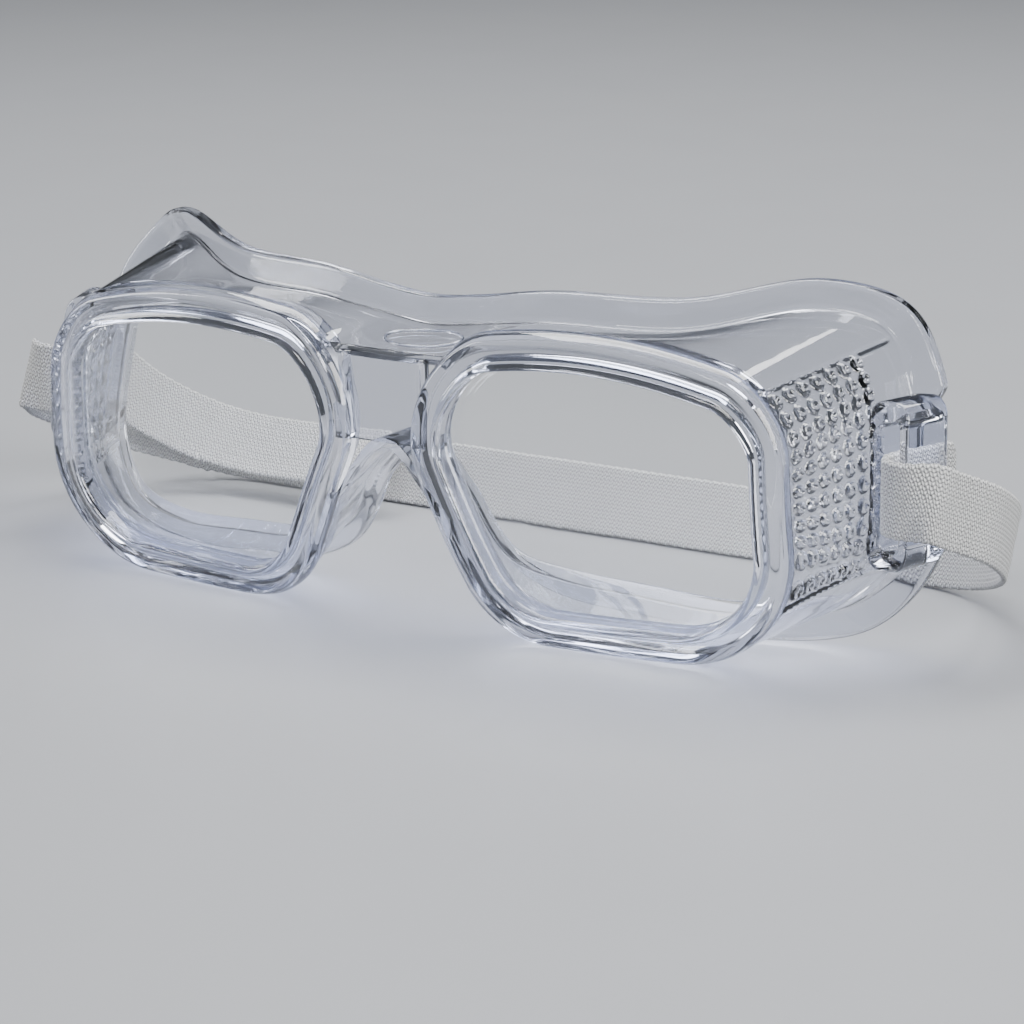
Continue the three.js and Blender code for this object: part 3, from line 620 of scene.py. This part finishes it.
# ---- Strap lugs --------------------------------------------------------------------------------
# A belt loop of the same PVC on each side wall, moulded with it: the strap passes behind its outer
# bar. Its corners are well rounded.
lug_length, lug_height, lug_leg, lug_lift = 9.0, 27.0, 3.4, 28.2
lug_stand_off, lug_passage, lug_bar, lug_from_lip, lug_sink = 2.8, 4.1, 2.0, 1.407, -0.6
lug_corner, passage_corner, lug_bevel = 3.4, 1.2, 0.7
solid_inset, solid_start, solid_end = 0.8, -7.8, 0.5


def wall_point(station, back):
    """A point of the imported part's wall, outer side, back from 0 at the rim to 1 at the lip."""
    station = np.array([station])
    edge = rim_back(station, solid_inset, solid_start)[0]
    return edge * (1 - back) + (lip_root(station)[0] - np.array([0.0, solid_end, 0.0])) * back


wall_front, wall_rear = wall_point(lug_station, 0.0), wall_point(lug_station, 1.0)
lug_along = (wall_rear - wall_front) * np.array([1.0, 1.0, 0.0])
lug_rear = np.linalg.norm(wall_rear - wall_front) - lug_from_lip
lug_along /= np.linalg.norm(lug_along)
lug_up = wall_point(lug_station - 0.5, 0.8) - wall_point(lug_station + 0.5, 0.8)
lug_up /= np.linalg.norm(lug_up)
lug_out = np.cross(lug_along, lug_up)
lug_out /= np.linalg.norm(lug_out)
lug_origin = np.append(wall_front[:2], lug_lift) + lug_along * (lug_rear - lug_length)


def at_lug(back, out, up):
    """From the lug's front edge: back along the wall, out from it and up."""
    return (lug_origin + np.asarray(back)[..., None] * lug_along + np.asarray(out)[..., None] * lug_out
            + np.asarray(up)[..., None] * lug_up)


def frame_path(low_out, high_out, half_up, radius):
    """A rectangle with rounded corners in the plane square to the wall."""
    box = np.array([(low_out, -half_up), (high_out, -half_up), (high_out, half_up), (low_out, half_up)])
    middle = np.array([(low_out + high_out) / 2, 0.0])
    corners = []
    for x, y in box:
        turn = np.arctan2(np.sign(y), np.sign(x - middle[0]))
        angle = turn + np.linspace(-np.pi / 4, np.pi / 4, 13)
        centre = np.array([x, y]) - radius * np.array([np.sign(x - middle[0]), np.sign(y)])
        corners.append(centre + radius * np.stack([np.cos(angle), np.sin(angle)], -1))
    return np.concatenate(corners)


passage = lug_stand_off + lug_passage / 2
outer_face = lug_stand_off + lug_passage + lug_bar
outer_path = frame_path(lug_sink, outer_face, lug_height / 2, lug_corner)
inner_path = frame_path(lug_stand_off, outer_face - lug_bar, lug_height / 2 - lug_leg, passage_corner)
# The loop's section, about as thick as it is wide: how far from its outside to its inside, and how
# far back along it.
section_width = 3.0
section_box = np.array([(0, 0), (0, lug_length), (section_width, lug_length), (section_width, 0)])
lug_section = np.concatenate(rounded(section_box, [lug_bevel] * 4, 6))
lug_across, lug_back = lug_section[:, 0] / section_width, lug_section[:, 1]
lug_paths = outer_path[:, None] * (1 - lug_across[:, None]) + inner_path[:, None] * lug_across[:, None]
lug_points = at_lug(np.broadcast_to(lug_back, lug_paths.shape[:2]), lug_paths[..., 0], lug_paths[..., 1])
for side, flip in (("left", 1.0), ("right", mirror)):
    lug_name = f"{side}_belt_loop"
    lug = place(lug_name, skin_mesh(lug_name, (lug_points + to_row) * flip, True, True), pvc)
    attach(lug, "frame")
    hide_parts(f"{side}_strap_lug")


# ---- Elastic strap -----------------------------------------------------------------------------
# White half-inch knitted elastic: lengthwise ribs of slanting stitches with a scalloped edge. It
# is threaded through both lugs and turns back on itself outside them, with one long free end.
strap_width, strap_thickness, strap_ribs, stitch = 12.7, 1.2, 18, 0.9
strap_reach, strap_spread, strap_turn_in, swing_clear = 50.0, 5.4, 16.6, 0.6
ground_gap, scallop, rib_swell = 0.25, 0.09, 0.09
turn_margin, turn_end, blend_margin = 3.5, 2.6, 0.4


def joint_place(name):
    """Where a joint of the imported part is, in millimetres of the maker's frame."""
    joint = next(j for j in frame["record"]["behaviour"]["joints"] if j["name"] == name)
    return np.array(joint["pos_m"]) * 1000 - to_row


swing = joint_place("strap_swing")
lug_tips = at_lug(np.full(2, lug_length), np.full(2, outer_face), np.array([0.5, -0.5]) * lug_height)
swing_x = swing_clear + lug_tips[:, 0].max()
strap_bulge = swing_x + strap_spread
strap_corner = swing_x - strap_turn_in


def elastic_paint():
    """White knit: ribs across the width from the map's second number, stitches along each rib
    that lean one way on one rib and the other way on the next. Its colour carries painted shade:
    dark grey down in the valleys between ribs and stitches, near white on their tops."""
    paint = Paint("white_elastic")
    chart = paint.add("ShaderNodeUVMap", {"uv_map": "weave"})
    split = paint.add("ShaderNodeSeparateXYZ", None, chart)
    along = Wire(paint, split.socket.node.outputs["X"])
    across = Wire(paint, split.socket.node.outputs["Y"])
    wander = along.reckon("SINE", along * (2 * np.pi / (stitch * 0.001))) * 0.22
    rib_place = across * (strap_ribs / (strap_width * 0.001)) + wander
    rib_number = rib_place.reckon("FLOOR", rib_place)
    from_ridge = rib_place - rib_number - 0.5
    valley = from_ridge.reckon("ABSOLUTE", from_ridge) * 2.0
    slant = along * (2 * np.pi / (stitch * 0.0005)) + from_ridge * 2.4 + rib_number * np.pi
    loop_wave = slant.reckon("SINE", slant)
    fuzz = paint.add("ShaderNodeTexNoise", None, chart, Scale=2500.0, Detail=3.0)
    height = (1.0 - valley ** 3.0) * 0.75 + loop_wave * 0.32 + fuzz * 0.35
    # Painted shade: the colour follows the knit's height, from dark grey in the valleys between ribs and
    # stitches to near white on their tops.
    painted_valley_shade = paint.add("ShaderNodeValToRGB", {"stops": [
        (0.0, (0.25, 0.25, 0.26, 1.0)), (0.5, (0.56, 0.56, 0.56, 1.0)), (1.0, (0.84, 0.84, 0.83, 1.0))]},
        height * 0.72)
    soil = paint.add("ShaderNodeTexNoise", None, paint.add("ShaderNodeTexCoord", out="Object"), Scale=45.0)
    colour = paint.add("ShaderNodeMix", {"data_type": "RGBA", "blend_type": "MULTIPLY"}, out=2)
    mix = colour.socket.node
    # The mix node's colour sockets: 0 how much, 6 the first colour, 7 the second.
    for key, value in ((0, soil * 0.14), (6, painted_valley_shade)):
        paint.tree.links.new(value.socket, mix.inputs[key])
    mix.inputs[7].default_value = (0.80, 0.80, 0.82, 1.0)
    bump = paint.add("ShaderNodeBump", None, Strength=1.0, Distance=0.0005, Height=height)
    return paint.finish(paint.add("ShaderNodeBsdfPrincipled", None, Base_Color=colour,
                                  Roughness=0.88 - fuzz * 0.12, Sheen_Weight=0.1,
                                  Sheen_Roughness=0.5, Normal=bump))


elastic = elastic_paint()


def measured(path, step):
    """The path at even steps along its own length, and the length to each."""
    run = np.concatenate([[0.0], np.cumsum(np.linalg.norm(np.diff(path, axis=0), axis=1))])
    reach = np.linspace(0, run[-1], max(8, int(run[-1] / step)))
    return np.stack([np.interp(reach, run, path[:, k]) for k in range(3)], -1), reach


def knitted_band(name, path, axis, turn_down, ends=(0.0, 0.0), step=0.42):
    """A flat band carried along a path in plan, upright across its width, then turned down about
    an axis along X by turn_down(points) radians. Its faces swell at each rib, its edges are
    scalloped at each stitch, and ends gives the radius that each end's corners are cut to."""
    line, reach = measured(path, step)
    tangent = np.gradient(line, axis=0)
    side = np.stack([tangent[:, 1], -tangent[:, 0], 0 * tangent[:, 0]], -1)
    side /= np.linalg.norm(side, axis=-1, keepdims=True)
    width_share = np.linspace(-1, 1, strap_ribs * 4 + 1)
    rib_phase = width_share * strap_ribs * np.pi / 2 + np.pi / 2 * (strap_ribs % 2 + 1)
    swell = 1 - rib_swell * np.cos(rib_phase) ** 2
    edge_thin = np.sqrt(np.clip(1 - (np.abs(width_share) - 0.93).clip(0) / 0.07 * 0.8, 0, 1))
    half_thick = strap_thickness / 2 * swell * edge_thin
    across = np.concatenate([width_share, width_share[::-1]])
    depth = np.concatenate([half_thick, -half_thick[::-1]])
    half = strap_width / 2 - scallop + scallop * np.sin(reach * np.pi / stitch)
    for radius, from_end in zip(ends, (reach, reach[-1] - reach)):
        if radius:
            cut = np.clip(radius - from_end, 0, radius)
            half = np.minimum(half, strap_width / 2 - radius + np.sqrt(radius ** 2 - cut ** 2) - 0.02)
    points = line[:, None, :] + side[:, None, :] * depth[:, None]
    points = points + np.array([0, 0, 1.0]) * (half[:, None] * across)[..., None]
    angle = turn_down(points)
    back, up = points[..., 1] - axis[1], points[..., 2] - axis[2]
    points = np.stack([points[..., 0], axis[1] + back * np.cos(angle) + up * np.sin(angle),
                       axis[2] - back * np.sin(angle) + up * np.cos(angle)], -1)
    run = np.concatenate([across, across[:1]]) * strap_width / 2 + strap_width / 2
    mesh = skin_mesh(name, points + to_row, False, True, (np.append(reach, reach[-1]), run), 50.0)
    return place(name, mesh, elastic), reach[-1]


def plan(x, back):
    """A place level with the swing axis, so far behind it."""
    return (x, swing[1] + back, swing[2])


# The loop droops until its lower edge is ground_gap above the ground.
droop = (np.arcsin((swing[2] - ground_gap) / np.hypot(strap_reach, strap_width / 2))
         - np.arctan(strap_width / 2 / strap_reach))
join_x = swing_x + turn_end
turn_knots = [at_lug(lug_length, passage, 0), at_lug(0, passage, 0), at_lug(-1.8, passage + 0.9, 0),
              at_lug(-2.7, outer_face - 1.8, 0), at_lug(-2.7, outer_face + 0.9, 0)]
turn_knots = [(knot[0], knot[1], swing[2]) for knot in turn_knots]
side_knots = [plan(swing_x + 0.5, 0.1), plan(strap_bulge - 3.4, 3.6), plan(strap_bulge, 11),
              plan(strap_bulge - 0.4, 20), plan(strap_bulge - 4.6, strap_reach - 17),
              plan(strap_bulge - 12, strap_reach - 6.4), plan(strap_corner + 1.5, strap_reach - 0.8),
              plan(strap_corner - 12, strap_reach), plan(0, strap_reach)]


def turned(points):
    """No turn at the lug, the whole droop where the loop hangs free."""
    return droop * smoothly(swing_x - turn_margin, join_x - 0.3, np.abs(points[..., 0]))


# Short free end behind each lug; the path turns back on itself, so it is cut where it passes
# join_x for the last time, in its second two thirds.
path_steps = 3000
hinge = swing + to_row
for side, spare, flip in (("left", 5.0, 1.0), ("right", 1.2, mirror)):
    tail_knot = at_lug(lug_length + spare, passage + 0.2, 0)
    knots = np.array([(tail_knot[0], tail_knot[1], swing[2])] + turn_knots + side_knots)
    whole = through(knots, np.linspace(0, 1, path_steps))
    beyond = (whole[:, 0] > join_x) & (np.arange(path_steps) > path_steps / 3)
    cut = int(np.argmax(beyond))
    wrap, wrap_length = knitted_band(f"{side}_strap_turn", whole[:cut + 1] * flip, swing, turned, (1.5, 0.0))
    ((np.array([swing_x - 3.0, hinge[1], hinge[2]]) * flip) * 0.001).tolist()
    ((np.array([join_x - blend_margin, hinge[1], hinge[2]]) * flip) * 0.001).tolist()
    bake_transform(wrap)
    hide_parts(f"{side}_strap_wrap")
    if side == "left":
        left_half = whole[cut:]

loop_path = np.concatenate([left_half, (left_half * mirror)[::-1]])
loop_band, loop_length = knitted_band("strap_loop", loop_path, swing,
                                      lambda points: droop + 0 * points[..., 0])
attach(loop_band, "strap")
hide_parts("left_strap_loop", "right_strap_loop", "strap_back_run")

# The long free end comes out of the back of the right lug and lies inside the loop.
tail_end, tail_inset = 36.0, 4.6
pivot = joint_place("tail_swing")
tail_back = pivot[1] - swing[1]
tail_x = -pivot[0]
tail_knots = np.array([
    plan(tail_x - 1.6, tail_back - strap_width / 2), plan(tail_x, tail_back),
    plan(tail_x + 1.3, tail_back + 6), plan(tail_x - 1.2, strap_reach - 16),
    plan(tail_x - 9, strap_reach - tail_inset - 3.5), plan(tail_x - 21, strap_reach - tail_inset),
    plan(tail_end, strap_reach - tail_inset - 1.5)])
tail_hang = np.radians(45)
tail_path = through(tail_knots, np.linspace(0, 1, 2000)) * mirror
tail, tail_length = knitted_band("strap_free_end", tail_path, pivot,
                                 lambda points: tail_hang + 0 * points[..., 0], (strap_width / 2, 3.0))
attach(tail, "tail")
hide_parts("right_strap_tail")
